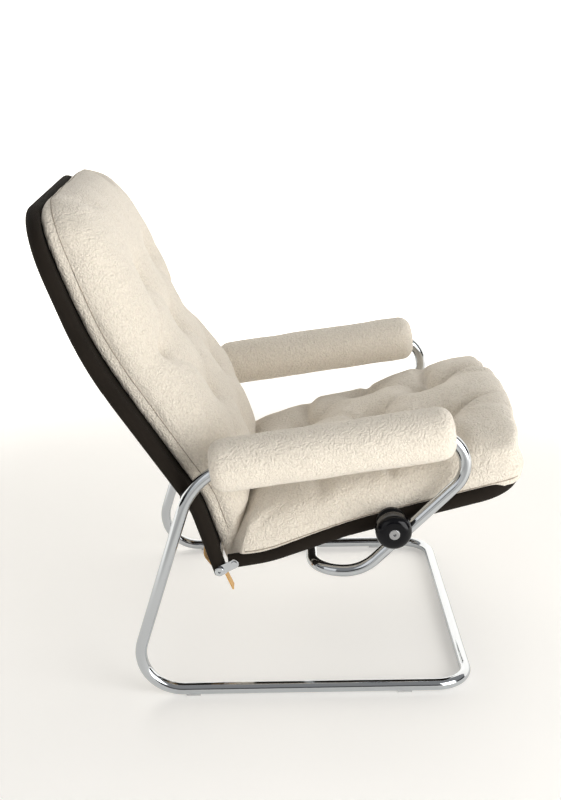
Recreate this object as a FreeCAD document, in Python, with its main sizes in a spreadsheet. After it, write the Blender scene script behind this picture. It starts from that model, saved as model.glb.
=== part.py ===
import FreeCAD, Part
import math
import os
from types import SimpleNamespace

import Sketcher
from FreeCAD import Placement, Rotation, Vector

# Reclining armchair on a bent tube base, in millimetres. +Z is up, the sitter faces -Y,
# and the origin is on the floor below the middle of the chair.
SIZES = {
    # chromed base and slide rail
    "tube_diameter": 22.0,
    "tube_wall": 1.8,
    "side_spacing": 634.0,
    "base_depth": 631.0,
    "base_middle": 15.5,
    "floor_bend": 62.0,
    "rear_bend": 75.0,
    "upright_lean": 72.7,
    "upright_run": 452.4,
    "arm_bend": 130.0,
    "arm_rise": 8.0,
    "arm_run": 581.6,
    "front_bend": 56.0,
    "slope_angle": 44.7,
    "slope_run": 398.0,
    "tail_bend": 76.0,
    "tail_rise": 2.7,
    "tail_run": 86.0,
    "cross_bend": 50.0,
    "splice_at": 240.0,
    "splice_length": 90.0,
    "glide_thickness": 2.0,
    "glide_length": 26.0,
    "glide_width": 11.0,
    "glide_cheek": 3.0,
    "glide_inset": 120.0,
    # padded armrest sleeves
    "pad_diameter": 97.0,
    "pad_length": 430.0,
    "pad_start": 26.0,
    "pad_round": 27.0,
    "cover_thickness": 2.5,
    # back frame, measured up from the hinge with the seat
    "rail_diameter": 22.0,
    "rail_wall": 1.5,
    "rail_inset": 31.0,
    "pivot_turn": 10.0,
    "pivot_to_bend": 26.0,
    "low_angle": 72.0,
    "low_run": 129.0,
    "low_bend": 170.0,
    "mid_angle": 56.3,
    "mid_run": 318.8,
    "high_bend": 700.0,
    "high_angle": 69.6,
    "high_run": 260.7,
    "back_corner": 104.0,
    "hinge_overhang": 12.0,
    # seat frame, measured from the hinge along the line to the clamp stud
    "stud_along": 101.0,
    "stud_above": 26.5,
    "seat_rear_gap": 19.0,
    "plate_reach": 29.0,
    "plate_rise": 4.7,
    "seat_dip_at": 91.6,
    "seat_dip": 4.1,
    "seat_crest_back": 80.0,
    "seat_crest_bend": 1100.0,
    "seat_dip_bend": 260.0,
    "seat_front": 234.0,
    "seat_fall": 2.3,
    "seat_corner": 70.0,
    # canvas slings
    "canvas_thickness": 1.6,
    "canvas_offset": 8.5,
    "sleeve_setback": 2.0,
    "back_sheet_start": 26.0,
    "seat_sheet_start": 34.0,
    # cushions
    "back_side_inset": 26.0,
    "seat_side_lap": 3.0,
    "back_thickness": 122.0,
    "back_over_top": 8.0,
    "back_cushion_corner": 105.0,
    "seat_thickness": 106.0,
    "seat_overhang": 50.0,
    "side_bulge": 8.0,
    "waist_share": 0.34,
    "shoulder_share": 0.62,
    "turn_share": 0.14,
    "turn_inset": 0.3,
    "back_shoulder_width": 56.0,
    "back_crown_rise": 8.0,
    "seat_shoulder_width": 80.0,
    "seat_crown_rise": 15.0,
    "parting_angle": 71.0,
    "parting_gap": 1.4,
    "parting_ahead": 18.0,
    "back_cushion_lift": 14.0,
    "tuft_across": 97.0,
    "tuft_spacing": 127.0,
    "back_tuft_first": 150.0,
    "back_tuft_depth": 30.0,
    "seat_tuft_first": 156.0,
    "seat_tuft_depth": 44.0,
    "tuft_eye": 4.0,
    # back pivots
    "pivot_diameter": 10.0,
    "bush_wall": 2.0,
    "bush_flange": 10.0,
    "pivot_ring_width": 2.0,
    "pivot_ring_diameter": 14.4,
    # hinge between back and seat
    "axle_diameter": 10.0,
    "plate_thickness": 3.0,
    "plate_width": 17.0,
    "plate_bolt_diameter": 6.0,
    "plate_bolt_head": 11.0,
    "plate_bolt_head_height": 2.4,
    "hinge_cap_diameter": 17.0,
    "hinge_cap_height": 5.0,
    "hinge_socket_diameter": 5.0,
    "hinge_socket_depth": 3.0,
    # clamp knobs
    "stud_diameter": 10.0,
    "stud_head_diameter": 14.0,
    "stud_head_height": 5.0,
    "roller_length": 21.0,
    "disc_diameter": 52.0,
    "outer_disc_thickness": 2.2,
    "knob_diameter": 64.0,
    "knob_height": 31.0,
    "knob_edge_round": 14.0,
    "knob_rim_round": 5.0,
    "insert_diameter": 16.0,
    "insert_length": 18.0,
    "knob_screw_diameter": 19.0,
    "knob_screw_length": 8.0,
    "knob_screw_proud": 1.6,
    "knob_socket_diameter": 6.0,
    "knob_socket_depth": 4.0,
    # leather straps behind the hinge
    "strap_thickness": 2.6,
    "strap_width": 25.0,
    "strap_inset": 40.0,
    "strap_bend": 7.0,
    "strap_top": 92.0,
    "strap_leaves": 56.0,
    "strap_bulge_up": 24.0,
    "strap_bulge_back": 25.0,
    "strap_sag": 13.0,
    "strap_sag_back": 13.0,
    "strap_turn_down": 21.0,
    "strap_turn_ahead": 1.0,
    "strap_tab_down": 63.0,
    "strap_tab_ahead": 5.0,
    # clearances
    "running_clearance": 0.06,
    "seat_clearance": 0.3,
    "rail_clearance": 1.4,
}

doc = FreeCAD.newDocument("reclining_armchair")
sheet = doc.addObject("Spreadsheet::Sheet", "Sizes")
for row, (name, value) in enumerate(SIZES.items(), start=1):
    sheet.set(f"A{row}", name)
    sheet.set(f"B{row}", str(value))
    sheet.setAlias(f"B{row}", name)
doc.recompute()
d = SimpleNamespace(**{name: float(sheet.get(name)) for name in SIZES})

LEFT, RIGHT = 1, -1
SIDES = {"left": LEFT, "right": RIGHT}
ACROSS = Vector(1, 0, 0)
nodes = []


def keep(part, name):
    """Give a finished sub-part its own name and list it for writing."""
    part.Label = name
    nodes.append(part)
    return part


def solid_piece(name, shape):
    """A sub-part whose bent or padded form is worked out below."""
    part = doc.addObject("Part::Feature", name)
    part.Shape = shape
    return keep(part, name)


def heading(angle):
    """Unit direction in the side view: 0 points forward, 90 points up."""
    turn = math.radians(angle)
    return Vector(0, -math.cos(turn), math.sin(turn))


def square_to(direction):
    """Side-view direction a quarter turn from another, on its upper side."""
    normal = Vector(0, -direction.z, direction.y)
    return normal if normal.z > 0 else normal * -1


def across(point, x):
    """The side-view point moved out to a place across the chair."""
    return Vector(x, point.y, point.z)


def bent_path(points, bends):
    """Straight runs through the points, joined by tangent arcs of the given radii."""
    edges = []
    last = points[0]
    for before, corner, after, bend in zip(points, points[1:], points[2:], bends):
        back = (before - corner).normalize()
        ahead = (after - corner).normalize()
        half_turn = back.getAngle(ahead) / 2
        reach = bend / math.tan(half_turn)
        start = corner + back * reach
        end = corner + ahead * reach
        middle_line = (back + ahead).normalize()
        middle = corner + middle_line * (bend / math.sin(half_turn) - bend)
        edges.append(Part.LineSegment(last, start).toShape())
        edges.append(Part.Arc(start, middle, end).toShape())
        last = end
    edges.append(Part.LineSegment(last, points[-1]).toShape())
    return Part.Wire(edges)


def swept(path, radius):
    """A round bar along a path."""
    first = path.Edges[0]
    start = first.valueAt(first.FirstParameter)
    ahead = first.tangentAt(first.FirstParameter)
    ring = Part.Wire(Part.Circle(start, ahead, radius).toShape())
    return path.makePipeShell([ring], True, False)


def tube(path, radius, wall):
    """A hollow tube along a path."""
    return swept(path, radius).cut(swept(path, radius - wall))


def mirrored_loop(points, bends):
    """A path along the left side and back along the right side of the chair."""
    right = [Vector(-p.x, p.y, p.z) for p in reversed(points)]
    return bent_path(points + right, bends + list(reversed(bends)))


def place_on(edge, distance):
    """Curve parameter at a distance along a straight or round edge."""
    share = distance / edge.Length
    return edge.FirstParameter + share * (edge.LastParameter - edge.FirstParameter)


def along(path, distance):
    """Point and direction at a distance along a path; beyond its ends it runs on straight."""
    edges = path.Edges
    if distance < 0:
        start = edges[0].valueAt(edges[0].FirstParameter)
        ahead = edges[0].tangentAt(edges[0].FirstParameter)
        return start + ahead * distance, ahead
    for edge in edges:
        if distance <= edge.Length:
            place = place_on(edge, distance)
            return edge.valueAt(place), edge.tangentAt(place)
        distance -= edge.Length
    end = edges[-1].valueAt(edges[-1].LastParameter)
    ahead = edges[-1].tangentAt(edges[-1].LastParameter)
    return end + ahead * distance, ahead


def cross_bar(point, radius, inner, outer, side):
    """A plain round bar across the chair, between two distances from its middle plane."""
    return Part.makeCylinder(radius, outer - inner, across(point, side * inner), ACROSS * side)


def cylinder(name, diameter, length, base, direction):
    """A turned blank whose diameter and length follow the size sheet."""
    part = doc.addObject("Part::Cylinder", name)
    part.setExpression("Radius", f"({diameter}) / 2")
    part.setExpression("Height", length)
    part.Placement = Placement(base, Rotation(Vector(0, 0, 1), direction))
    return part


def joined(kind, name, base, tool):
    """A boolean of two pieces: Part::Cut, Part::Fuse or Part::Common."""
    part = doc.addObject(kind, name)
    part.Base = base
    part.Tool = tool
    return part


def turned(name, corners, place):
    """A turned piece: its half section, in sheet expressions, spun about its own axis."""
    body = doc.addObject("PartDesign::Body", name)
    plane = next(f for f in body.Origin.OriginFeatures if f.Role == "XZ_Plane")
    sketch = body.newObject("Sketcher::SketchObject", name + "_section")
    sketch.AttachmentSupport = [(plane, "")]
    sketch.MapMode = "FlatFace"
    count = len(corners)
    spots = [Vector(sheet_value(r), sheet_value(h), 0) for r, h in corners]
    for index in range(count):
        sketch.addGeometry(Part.LineSegment(spots[index], spots[(index + 1) % count]), False)
    for index in range(count):
        sketch.addConstraint(Sketcher.Constraint("Coincident", index, 2, (index + 1) % count, 1))
    for index, (radius, height) in enumerate(corners):
        for kind, expression in (("DistanceX", radius), ("DistanceY", height)):
            here = spots[index].x if kind == "DistanceX" else spots[index].y
            number = sketch.addConstraint(Sketcher.Constraint(kind, -1, 1, index, 1, here))
            sketch.setExpression(f"Constraints[{number}]", expression)
    spin = body.newObject("PartDesign::Revolution", name + "_turned")
    spin.Profile = sketch
    spin.ReferenceAxis = (sketch, ["V_Axis"])
    spin.Angle = 360.0
    body.Placement = place
    doc.recompute()
    return body


def sheet_value(expression):
    """The present value of an expression over the size sheet."""
    return float(sheet.evalExpression(expression))


def rounded(body, name, size, near):
    """Round the turned edge of a body that lies nearest to a given radius and height."""
    base = body.Tip
    reach, height = near
    best = None
    for index, edge in enumerate(base.Shape.Edges, start=1):
        curve = edge.Curve
        if not isinstance(curve, Part.Circle):
            continue
        miss = abs(curve.Radius - reach) + abs(curve.Center.z - height)
        if best is None or miss < best[0]:
            best = (miss, index)
    soft = body.newObject("PartDesign::Fillet", name)
    soft.Base = (base, [f"Edge{best[1]}"])
    soft.setExpression("Radius", size)
    doc.recompute()
    return soft


# Reference places in the side view

tube_radius = d.tube_diameter / 2
rail_radius = d.rail_diameter / 2
side = d.side_spacing / 2
rail_side = side - d.rail_inset
floor_line = d.glide_thickness + tube_radius
front_foot = Vector(0, -(d.base_middle + d.base_depth / 2), floor_line)
rear_foot = Vector(0, -(d.base_middle - d.base_depth / 2), floor_line)
up = heading(d.upright_lean)
forward_up = heading(d.arm_rise)
down_slope = heading(180 + d.slope_angle)
arm_rear = rear_foot + up * d.upright_run
arm_front = arm_rear + forward_up * d.arm_run
slope_foot = arm_front + down_slope * d.slope_run
tail_end = slope_foot + heading(180 - d.tail_rise) * d.tail_run
splice = arm_rear + forward_up * d.splice_at

# The back pivot sits on the upper bend of the upright, a few degrees into it.
bend_reach = d.arm_bend * math.tan(math.radians(d.upright_lean - d.arm_rise) / 2)
bend_start = arm_rear - up * bend_reach
bend_centre = bend_start - square_to(up) * d.arm_bend
pivot = bend_centre + heading(d.upright_lean + 90 - d.pivot_turn) * d.arm_bend

low_up = heading(180 - d.low_angle)
mid_up = heading(180 - d.mid_angle)
high_up = heading(180 - d.high_angle)
low_vertex = pivot - mid_up * d.pivot_to_bend
hinge = low_vertex - low_up * d.low_run
high_vertex = low_vertex + mid_up * d.mid_run
back_top = high_vertex + high_up * d.high_run
back_foot = hinge - low_up * d.hinge_overhang

# The clamp stud rides above the sloping rail, and the seat hangs between hinge and stud.
up_slope = down_slope * -1
stud = slope_foot + up_slope * d.stud_along + square_to(up_slope) * d.stud_above
seat_ahead = (stud - hinge).normalize()
seat_normal = square_to(seat_ahead)


def seat_point(ahead, above):
    """A place given along and above the line from the hinge to the clamp stud."""
    return hinge + seat_ahead * ahead + seat_normal * above


stud_reach = (stud - hinge).Length
fall = math.tan(math.radians(d.seat_fall))
seat_dip = seat_point(d.seat_dip_at, -d.seat_dip)
plate_point = seat_point(d.plate_reach, d.plate_rise)
rear_run = (plate_point - seat_dip).normalize()
seat_rear = plate_point + rear_run * (d.plate_reach - d.seat_rear_gap)
seat_crest = seat_point(stud_reach - d.seat_crest_back, d.seat_crest_back * fall)
seat_tip = seat_point(stud_reach + d.seat_front, -d.seat_front * fall)

# Distances across the chair, from its middle plane outwards
sleeve_bore = rail_radius + d.seat_clearance
sleeve_radius = sleeve_bore + d.canvas_thickness
sleeve_in = rail_side - sleeve_radius - d.seat_clearance
sleeve_out = rail_side + sleeve_radius + d.seat_clearance
tube_in = side - tube_radius - d.seat_clearance
tube_out = side + tube_radius + d.seat_clearance


# Chromed tube base and slide rail

base_side = [across(p, side) for p in (splice, arm_rear, rear_foot, front_foot)]
base_path = mirrored_loop(base_side, [d.arm_bend, d.rear_bend, d.floor_bend])
solid_piece("base_tube", tube(base_path, tube_radius, d.tube_wall))

rail_side_points = [across(p, side) for p in (splice, arm_front, slope_foot, tail_end)]
rail_path = mirrored_loop(rail_side_points, [d.front_bend, d.tail_bend, d.cross_bend])
solid_piece("rail_tube", tube(rail_path, tube_radius, d.tube_wall))

for word, sign in SIDES.items():
    start = across(splice - forward_up * (d.splice_length / 2), sign * side)
    spigot = cylinder(
        f"splice_spigot_{word}",
        "Sizes.tube_diameter - 2 * Sizes.tube_wall - 2 * Sizes.running_clearance",
        "Sizes.splice_length",
        start,
        forward_up,
    )
    keep(spigot, f"splice_spigot_{word}")


# Padded armrest sleeves: a foam core and a sewn cover around the armrest bar

arm_line = bent_path(
    [rear_foot + up * (d.upright_run / 2), arm_rear, arm_front, arm_front + down_slope * (d.slope_run / 2)],
    [d.arm_bend, d.front_bend],
)
arm_bore = swept(arm_line, tube_radius + d.seat_clearance)


def pad_blank(inset):
    """A round-ended roll along the armrest bar, drawn in by an inset all over."""
    radius = d.pad_diameter / 2 - inset
    start = arm_rear + forward_up * (d.pad_start + inset)
    roll = Part.makeCylinder(radius, d.pad_length - 2 * inset, start, forward_up)
    rims = [e for e in roll.Edges if isinstance(e.Curve, Part.Circle)]
    return roll.makeFillet(d.pad_round - inset, rims)


arm_cover = pad_blank(0).cut(pad_blank(d.cover_thickness)).cut(arm_bore)
arm_foam = pad_blank(d.cover_thickness + d.seat_clearance).cut(arm_bore)
for word, sign in SIDES.items():
    for name, shape in (("arm_foam", arm_foam), ("arm_cover", arm_cover)):
        pad = solid_piece(f"{name}_{word}", shape)
        pad.Placement = Placement(Vector(sign * side, 0, 0), Rotation())


# Floor glides: saddles under the runners with a flat sole

for word, sign in SIDES.items():
    for end, foot, inward in (("front", front_foot, 1), ("rear", rear_foot, -1)):
        name = f"glide_{end}_{word}"
        middle = foot.y + inward * d.glide_inset
        block = doc.addObject("Part::Box", name + "_block")
        block.setExpression("Length", "Sizes.glide_width")
        block.setExpression("Width", "Sizes.glide_length")
        block.setExpression("Height", "Sizes.glide_thickness + Sizes.glide_cheek")
        corner = Vector(sign * side - d.glide_width / 2, middle - d.glide_length / 2, 0)
        block.Placement = Placement(corner, Rotation())
        groove = cylinder(
            name + "_groove",
            "Sizes.tube_diameter + 2 * Sizes.running_clearance",
            "2 * Sizes.glide_length",
            Vector(sign * side, middle - d.glide_length, floor_line),
            Vector(0, 1, 0),
        )
        keep(joined("Part::Cut", name, block, groove), name)


# Back frame: one tube loop with a double bend at each side, drilled for pivots and hinge

back_points = [back_foot, low_vertex, high_vertex, back_top]
back_bends = [d.low_bend, d.high_bend]
back_loop = mirrored_loop([across(p, rail_side) for p in back_points], back_bends + [d.back_corner])
back_line = bent_path(back_points, back_bends)
bush_radius = d.pivot_diameter / 2 + d.running_clearance + d.bush_wall
axle_radius = d.axle_diameter / 2


def drilled(shape, point, radius, inner, outer):
    """Cut a cross hole through both side rails."""
    for sign in SIDES.values():
        shape = shape.cut(cross_bar(point, radius, inner, outer, sign))
    return shape


back_tube = tube(back_loop, rail_radius, d.rail_wall)
back_tube = drilled(back_tube, pivot, bush_radius + d.running_clearance, sleeve_in, sleeve_out)
back_tube = drilled(back_tube, hinge, axle_radius + d.running_clearance, sleeve_in, sleeve_out)
solid_piece("back_tube", back_tube)


# Canvas slings: a tunnel round each loop of tube and one sheet stretched between

edge_reach = math.sqrt(((sleeve_bore + sleeve_radius) / 2) ** 2 - d.canvas_offset**2)


def sheet_of_canvas(line, start, end, corner):
    """A sheet along a side line, its end corners rounded to follow the tube loop."""
    half = rail_side - edge_reach
    point, ahead = along(line, start)
    normal = square_to(ahead)
    low = point + normal * (d.canvas_offset - d.canvas_thickness / 2)
    high = low + normal * d.canvas_thickness
    outline = [across(low, -half), across(low, half), across(high, half), across(high, -half)]
    section = Part.makePolygon(outline + outline[:1])
    trimmed = []
    travelled = 0
    for edge in line.Edges:
        first = max(start, travelled)
        last = min(end, travelled + edge.Length)
        if last > first + 0.01:
            begin = place_on(edge, first - travelled)
            stop = place_on(edge, last - travelled)
            trimmed.append(edge.Curve.toShape(begin, stop))
        travelled += edge.Length
    spread = Part.Wire(trimmed).makePipeShell([section], True, False)
    tip, _ = along(line, end)
    posts = []
    for edge in spread.Edges:
        if edge.Length < d.canvas_thickness * 1.5 and edge.CenterOfMass.distanceToPoint(
            across(tip, math.copysign(half, edge.CenterOfMass.x))
        ) < 2 * d.canvas_offset:
            posts.append(edge)
    return spread.makeFillet(corner - edge_reach, posts)


def tunnel(loop):
    """The sewn sleeve of canvas round a tube loop."""
    return swept(loop, sleeve_radius).cut(swept(loop, sleeve_bore))


def sling_loop(points, bends, corner):
    """The part of a tube loop that the canvas covers."""
    return mirrored_loop([across(p, rail_side) for p in points], bends + [corner])


back_sheet = sheet_of_canvas(
    back_line, d.hinge_overhang + d.back_sheet_start, back_line.Length - edge_reach, d.back_corner
)
back_sleeve_points = [back_foot + low_up * d.sleeve_setback] + back_points[1:]
back_tunnel = tunnel(sling_loop(back_sleeve_points, back_bends, d.back_corner))
back_sling = back_tunnel.fuse(back_sheet).removeSplitter()
canvas_in = sleeve_in - d.canvas_offset
back_sling = drilled(back_sling, pivot, bush_radius + d.seat_clearance, canvas_in, sleeve_out)
back_sling = drilled(back_sling, hinge, axle_radius + d.seat_clearance, canvas_in, sleeve_out)
solid_piece("back_sling", back_sling)


# Seat frame and its sling

seat_points = [seat_rear, seat_dip, seat_crest, seat_tip]
seat_bends = [d.seat_dip_bend, d.seat_crest_bend]
seat_loop = mirrored_loop([across(p, rail_side) for p in seat_points], seat_bends + [d.seat_corner])
seat_line = bent_path(seat_points, seat_bends)
stud_radius = d.stud_diameter / 2
bolt_radius = d.plate_bolt_diameter / 2

seat_tube = tube(seat_loop, rail_radius, d.rail_wall)
seat_tube = drilled(seat_tube, stud, stud_radius + d.running_clearance, sleeve_in, sleeve_out)
seat_tube = drilled(seat_tube, plate_point, bolt_radius + d.running_clearance, sleeve_in, sleeve_out)
solid_piece("seat_tube", seat_tube)

seat_sheet = sheet_of_canvas(
    seat_line, d.seat_sheet_start, seat_line.Length - edge_reach, d.seat_corner
)
seat_tunnel = tunnel(sling_loop(seat_points, seat_bends, d.seat_corner))
seat_sling = seat_tunnel.fuse(seat_sheet).removeSplitter()
seat_sling = drilled(seat_sling, stud, stud_radius + d.seat_clearance, canvas_in, sleeve_out)
seat_sling = drilled(seat_sling, plate_point, bolt_radius + d.seat_clearance, canvas_in, sleeve_out)
solid_piece("seat_sling", seat_sling)


# Cushions: crowned boxes with drawn-in sides and a staggered field of sewn tufts

sheet_top = d.canvas_offset + d.canvas_thickness / 2 + d.seat_clearance


def cushion_section(line, distance, half, low, high, shoulder_width, crown_rise):
    """One cross section: a flat base, bulging sides and a crowned top."""
    point, ahead = along(line, distance)
    normal = square_to(ahead)

    def spot(x, n):
        return across(point + normal * n, x)

    rise = high - low
    base = spot(half - d.side_bulge, low)
    waist_line = spot(half, low + d.waist_share * rise)
    shoulder = spot(half - d.side_bulge / 2, low + d.shoulder_share * rise)
    turn = spot(half - d.turn_inset * shoulder_width, high - crown_rise - d.turn_share * rise)
    brow = spot(half - shoulder_width, high - crown_rise)
    peak = spot(0, high)

    def other(place):
        return Vector(-place.x, place.y, place.z)

    edges = [
        Part.LineSegment(other(base), base).toShape(),
        Part.Arc(base, waist_line, shoulder).toShape(),
        Part.Arc(shoulder, turn, brow).toShape(),
        Part.Arc(brow, peak, other(brow)).toShape(),
        Part.Arc(other(brow), other(turn), other(shoulder)).toShape(),
        Part.Arc(other(shoulder), other(waist_line), other(base)).toShape(),
    ]
    return Part.Wire(edges)


def cushion_body(line, stations, shoulder_width, crown_rise):
    """A loft through cross sections: distance, half width, base and crown of each."""
    wires = [cushion_section(line, *station, shoulder_width, crown_rise) for station in stations]
    return Part.makeLoft(wires, True, False, False, 3)


def tuft_tool(line, distance, x, depth, crown):
    """The flared hollow that one sewn tuft draws into a cushion."""
    point, ahead = along(line, distance)
    normal = square_to(ahead)
    eye = d.tuft_eye
    rim = eye + depth
    floor = crown - depth
    corner = depth * (1 - math.sqrt(0.5))
    outline = [
        Part.LineSegment(Vector(0, 0, floor - eye), Vector(eye, 0, floor)).toShape(),
        Part.Arc(
            Vector(eye, 0, floor),
            Vector(eye + corner, 0, floor + depth * math.sqrt(0.5)),
            Vector(rim, 0, crown),
        ).toShape(),
        Part.LineSegment(Vector(rim, 0, crown), Vector(rim, 0, crown + depth)).toShape(),
        Part.LineSegment(Vector(rim, 0, crown + depth), Vector(0, 0, crown + depth)).toShape(),
        Part.LineSegment(Vector(0, 0, crown + depth), Vector(0, 0, floor - eye)).toShape(),
    ]
    flare = Part.Face(Part.Wire(outline)).revolve(Vector(0, 0, 0), Vector(0, 0, 1), 360)
    flare.Placement = Placement(across(point, x), Rotation(Vector(0, 0, 1), normal))
    return flare


def tuft_rows(first, rows, start_pair):
    """Places of a staggered tuft field: pairs and threes in turn."""
    places = []
    for row in range(rows):
        distance = first + row * d.tuft_spacing
        pair = (row % 2 == 0) == start_pair
        steps = (-1, 1) if pair else (-2, 0, 2)
        places += [(distance, step * d.tuft_across) for step in steps]
    return places


def half_space(point, normal):
    """A large block on one side of a plane across the chair."""
    size = 4 * d.base_depth
    block = Part.makeBox(size, size, size, Vector(-size / 2, -size / 2, 0))
    block.Placement = Placement(point, Rotation(Vector(0, 0, 1), normal)).multiply(block.Placement)
    return block


def fitted_cushion(body, line, loop, tufts, depth, crown):
    """Trim a cushion to its sling, its tube loop and the hinge rod, then sew in the tufts."""
    bed_half = d.side_spacing
    start, ahead = along(line, -d.low_run)
    normal = square_to(ahead)
    bed_low = start - normal * d.back_thickness
    bed_high = start + normal * sheet_top
    outline = [
        across(bed_low, -bed_half),
        across(bed_low, bed_half),
        across(bed_high, bed_half),
        across(bed_high, -bed_half),
    ]
    end, _ = along(line, line.Length + d.low_run)
    run_in = Part.LineSegment(start, along(line, 0)[0]).toShape()
    run_out = Part.LineSegment(along(line, line.Length)[0], end).toShape()
    bed_path = Part.Wire([run_in] + line.Edges + [run_out])
    bed = bed_path.makePipeShell([Part.makePolygon(outline + outline[:1])], True, False)
    pad = body.cut(bed)
    pad = pad.cut(swept(loop, sleeve_radius + d.seat_clearance))
    hollow = axle_radius + d.strap_thickness + 2 * d.seat_clearance
    pad = pad.cut(cross_bar(hinge, hollow, -side, side, LEFT))
    for distance, x in tufts:
        pad = pad.cut(tuft_tool(line, distance, x, depth, crown))
    return pad


parting = heading(d.parting_angle)
parting_front = square_to(parting) * -1
half_gap = d.parting_gap / 2
parting_foot = hinge + heading(0) * d.parting_ahead

# Each row: share of the length, draw-in at the sides, lift of the base, drop of the crown.
BACK_RUN = [
    (0.0, 2, 0, 18),
    (0.16, 3, 0, 15),
    (0.42, 6, 0, 3),
    (0.66, 6, 0, 2),
]
# Each row: share of the rounded end still to go, draw-in as a share of it, lift, drop.
BACK_END = [
    (1.05, 0.0, 0, 12),
    (0.6, 0.07, 2, 25),
    (0.27, 0.3, 10, 41),
    (0.08, 0.57, 24, 59),
    (0.0, 0.85, 34, 74),
]

back_length = back_line.Length
back_crown = sheet_top + d.back_thickness
back_start = d.hinge_overhang + d.back_cushion_lift
back_end = back_length + d.back_over_top
corner = d.back_cushion_corner
half = rail_side - d.back_side_inset
back_stations = [
    (back_start + share * (back_length - back_start), half - inset, lift, back_crown - drop)
    for share, inset, lift, drop in BACK_RUN
]
back_stations += [
    (back_end - share * corner, half - inset * corner, lift, back_crown - drop)
    for share, inset, lift, drop in BACK_END
]
back_tufts = tuft_rows(d.hinge_overhang + d.back_tuft_first, 4, False)
back_body = cushion_body(back_line, back_stations, d.back_shoulder_width, d.back_crown_rise)
back_cushion = fitted_cushion(
    back_body, back_line, back_loop, back_tufts, d.back_tuft_depth, back_crown - d.back_crown_rise / 2
)
back_cushion = back_cushion.cut(half_space(parting_foot - parting_front * half_gap, parting_front))
solid_piece("back_cushion", back_cushion)

# Each row: share of the length, draw-in at the sides, lift of the base, drop of the crown.
SEAT_RUN = [
    (-0.06, 2, 0, 12),
    (0.26, 3, 0, 8),
    (0.52, 5, 0, 2),
    (0.78, 5, 0, -3),
    (0.96, 3, 2, 0),
]
# Each row: share of the overhang, draw-in at the sides, lift of the base, drop of the crown.
SEAT_END = [
    (0.45, 5, 6, 12),
    (0.82, 15, 16, 31),
    (1.0, 38, 34, 54),
]

seat_length = seat_line.Length
seat_crown = sheet_top + d.seat_thickness
half = rail_side + d.seat_side_lap
seat_stations = [
    (share * seat_length, half - inset, lift, seat_crown - drop)
    for share, inset, lift, drop in SEAT_RUN
]
seat_stations += [
    (seat_length + share * d.seat_overhang, half - inset, lift, seat_crown - drop)
    for share, inset, lift, drop in SEAT_END
]
seat_tufts = tuft_rows(d.seat_tuft_first - d.seat_rear_gap, 3, True)
seat_body = cushion_body(seat_line, seat_stations, d.seat_shoulder_width, d.seat_crown_rise)
seat_cushion = fitted_cushion(
    seat_body, seat_line, seat_loop, seat_tufts, d.seat_tuft_depth, seat_crown - d.canvas_thickness
)
seat_cushion = seat_cushion.cut(half_space(parting_foot + parting_front * half_gap, parting_front * -1))
solid_piece("seat_cushion", seat_cushion)


# Back pivots: studs on the uprights, flanged bushes in the back rails, retaining rings

flange_out = tube_in
bush_in = sleeve_in
ring_out = bush_in - d.seat_clearance
stud_end = ring_out - d.pivot_ring_width
upright_bar = swept(arm_line, tube_radius)
for word, sign in SIDES.items():
    outward = ACROSS * sign
    blank = cross_bar(pivot, d.pivot_diameter / 2, stud_end, side, sign)
    coped = blank.cut(upright_bar.translated(Vector(sign * side, 0, 0)))
    solid_piece(f"pivot_stud_{word}", coped)

    flange = cylinder(
        f"pivot_bush_{word}_flange",
        "Sizes.pivot_diameter + 2 * (Sizes.bush_wall + Sizes.bush_flange / 2)",
        str(flange_out - sleeve_out),
        across(pivot, sign * sleeve_out),
        outward,
    )
    barrel = cylinder(
        f"pivot_bush_{word}_barrel",
        "Sizes.pivot_diameter + 2 * Sizes.running_clearance + 2 * Sizes.bush_wall",
        str(flange_out - bush_in),
        across(pivot, sign * bush_in),
        outward,
    )
    bore = cylinder(
        f"pivot_bush_{word}_bore",
        "Sizes.pivot_diameter + 2 * Sizes.running_clearance",
        str(2 * (flange_out - bush_in)),
        across(pivot, sign * (bush_in - (flange_out - bush_in) / 2)),
        outward,
    )
    whole = joined("Part::Fuse", f"pivot_bush_{word}_whole", barrel, flange)
    keep(joined("Part::Cut", f"pivot_bush_{word}", whole, bore), f"pivot_bush_{word}")

    disc = cylinder(
        f"pivot_ring_{word}_disc",
        "Sizes.pivot_ring_diameter",
        "Sizes.pivot_ring_width",
        across(pivot, sign * stud_end),
        outward,
    )
    eye = cylinder(
        f"pivot_ring_{word}_eye",
        "Sizes.pivot_diameter + 2 * Sizes.running_clearance",
        "3 * Sizes.pivot_ring_width",
        across(pivot, sign * (stud_end - d.pivot_ring_width)),
        outward,
    )
    keep(joined("Part::Cut", f"pivot_ring_{word}", disc, eye), f"pivot_ring_{word}")


# Hinge between back and seat: a rod across the chair, link plates, plate bolts and caps

plate_in = sleeve_out
plate_out = plate_in + d.plate_thickness
cap_in = plate_out + d.seat_clearance
axle = cylinder(
    "hinge_axle",
    "Sizes.axle_diameter",
    str(2 * cap_in),
    across(hinge, -cap_in),
    ACROSS,
)
keep(axle, "hinge_axle")

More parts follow.
